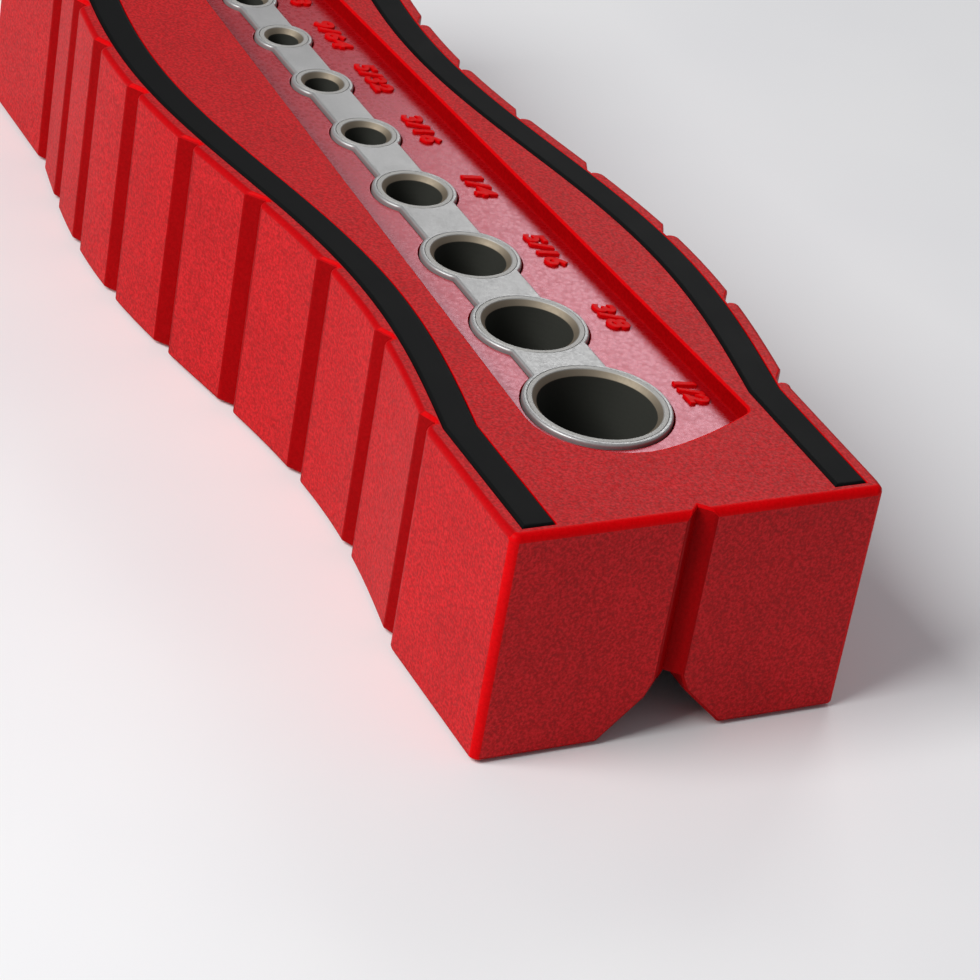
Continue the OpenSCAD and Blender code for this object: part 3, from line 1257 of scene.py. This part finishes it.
@dataclass
class Studio:
    """The pale floor, the soft lights and the camera."""

    floor_half: float = 3000.0
    sky: str = "F0F1F8"
    sky_strength: float = 0.22
    lamps: tuple[Lamp, ...] = (
        Lamp("key light", (60, -480, 480), (20, -20, 0), (380, 380), 4.1),
        Lamp("back light", (-483, 423, 430), (40, 10, 25), (275, 300), 0.95),
    )
    camera_at: tuple[float, float, float] = (339.95, -184.89, 227.13)
    looks_at: tuple[float, float, float] = (62.775, -18.675, 26.1)
    roll_deg: float = 10.274
    lens: float = 140.83
    # the nearest and the farthest that the camera sees, in metres
    near_m: float = 0.01
    far_m: float = 20.0

    def build_floor(self, material: Material) -> None:
        """Lay the paper floor.

        Args:
            material: the paper.
        """
        deselect()
        bpy.ops.mesh.primitive_plane_add(size=2 * self.floor_half * MM, location=(0, 0, 0))
        floor = bpy.context.object
        floor.name = "floor"
        floor.data.materials.append(material)

    def _hang(self, lamp: Lamp) -> None:
        """Hang one soft light.

        Args:
            lamp: its name, place, aim, size and power.
        """
        data = bpy.data.lights.new(lamp.name, "AREA")
        data.shape = "RECTANGLE"
        data.size = lamp.size[0] * MM
        data.size_y = lamp.size[1] * MM
        data.energy = lamp.watts
        piece = bpy.data.objects.new(lamp.name, data)
        bpy.context.scene.collection.objects.link(piece)
        piece.location = Vector(lamp.at) * MM
        aim = Vector(lamp.to) - Vector(lamp.at)
        piece.rotation_euler = aim.to_track_quat("-Z", "Y").to_euler()

    def build_lights(self) -> None:
        """Hang the lights and set the surroundings."""
        world = bpy.data.worlds.new("surroundings")
        world.use_nodes = True
        world.node_tree.nodes.clear()
        glow = add_node(
            world.node_tree,
            "ShaderNodeBackground",
            inputs={"Color": linear(self.sky), "Strength": self.sky_strength},
        )
        add_node(
            world.node_tree, "ShaderNodeOutputWorld", inputs={"Surface": glow.outputs["Background"]}
        )
        bpy.context.scene.world = world
        for lamp in self.lamps:
            self._hang(lamp)

    def build_camera(self) -> None:
        """Place the camera at the photograph's viewing angle."""
        lens = bpy.data.cameras.new("camera")
        lens.lens = self.lens
        lens.clip_start = self.near_m
        lens.clip_end = self.far_m
        camera = bpy.data.objects.new("camera", lens)
        bpy.context.scene.collection.objects.link(camera)
        at = Vector(self.camera_at) * MM
        aim = (Vector(self.looks_at) * MM - at).to_track_quat("-Z", "Y").to_matrix().to_4x4()
        roll = Matrix.Rotation(math.radians(self.roll_deg), 4, "Z")
        camera.matrix_world = Matrix.Translation(at) @ aim @ roll
        bpy.context.scene.camera = camera
        bpy.context.scene.view_settings.view_transform = "Standard"


def red_plastics() -> dict[Gloss, Material]:
    """Build the block's plastic for each kind of surface, with a darker red for painted shade and
    brighter reds for painted highlights.

    Returns:
        A material for each kind.
    """
    return {
        # spark-eroded: fine specks, half dull, paler where it faces the light
        Gloss.GRAINED: MouldedAbs().build(),
        # smooth: hardly any sheen, in a darker red that paints shade on walls, grooves and ramps
        Gloss.SMOOTH: MouldedAbs(
            "red ABS, smooth moulding, painted shade",
            base="A00105",
            dark="960104",
            light="A80207",
            roughness=0.34,
            specular=0.03,
            bump_share=0.1,
        ).build(),
        # rounded edges: a brighter red that paints a highlight on them
        Gloss.EDGE: MouldedAbs(
            "red ABS, painted highlight on rounded edges",
            base="DC0108",
            dark="D40106",
            light="E2020A",
            roughness=0.4,
            specular=0.04,
            bump_share=0.1,
        ).build(),
        # rims of the side panels: a weaker painted highlight, as the key light already falls on
        # them
        Gloss.RIM: MouldedAbs(
            "red ABS, painted highlight on panel rims",
            base="BE0109",
            dark="B60107",
            light="C4020B",
            roughness=0.42,
            specular=0.06,
            bump_share=0.1,
        ).build(),
        # polished: a soft pink reflection of the back light over the red
        Gloss.POLISHED: MouldedAbs(
            "red ABS, polished moulding",
            base="A6030A",
            dark="9E0208",
            light="AE050C",
            roughness=0.25,
            specular=1.0,
            tint="FFBDDA",
            bump_share=0.12,
        ).build(),
    }


def main() -> None:
    """Load the solids, build each sub-assembly in order and set up the studio."""
    logging.basicConfig(level=logging.INFO, format="%(name)s: %(message)s")
    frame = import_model()
    nodes = frame["nodes"]
    studio = Studio()
    studio.build_camera()

    reds = red_plastics()
    black = MouldedNylon().build()
    zinc = DieCastZinc().build()
    steel = GroundSteel().build()
    plated = ZincPlate().build()
    strip_rubber = MouldedRubber("thermoplastic rubber, moulded strip").build()
    # the pads are duller than the strips, so they look dustier
    pad_rubber = MouldedRubber("thermoplastic rubber, moulded pad", roughness=(0.62, 0.8)).build()

    block = Block()
    block.dress(block.build(nodes), reds)
    marks = SizeMarks()
    # the marks share the brighter red that paints highlights on the rounded edges
    marks.dress(marks.build(), reds[Gloss.EDGE])
    strip = GuideStrip()
    strip.dress(strip.build(nodes), nodes, zinc, steel)
    grips = GripStrips()
    grips.dress(grips.build(nodes), strip_rubber)
    base = BaseParts()
    base.dress(base.build(nodes), nodes, black, pad_rubber, plated)

    studio.build_floor(StudioPaper().build())
    studio.build_lights()


if __name__ == "__main__":
    main()
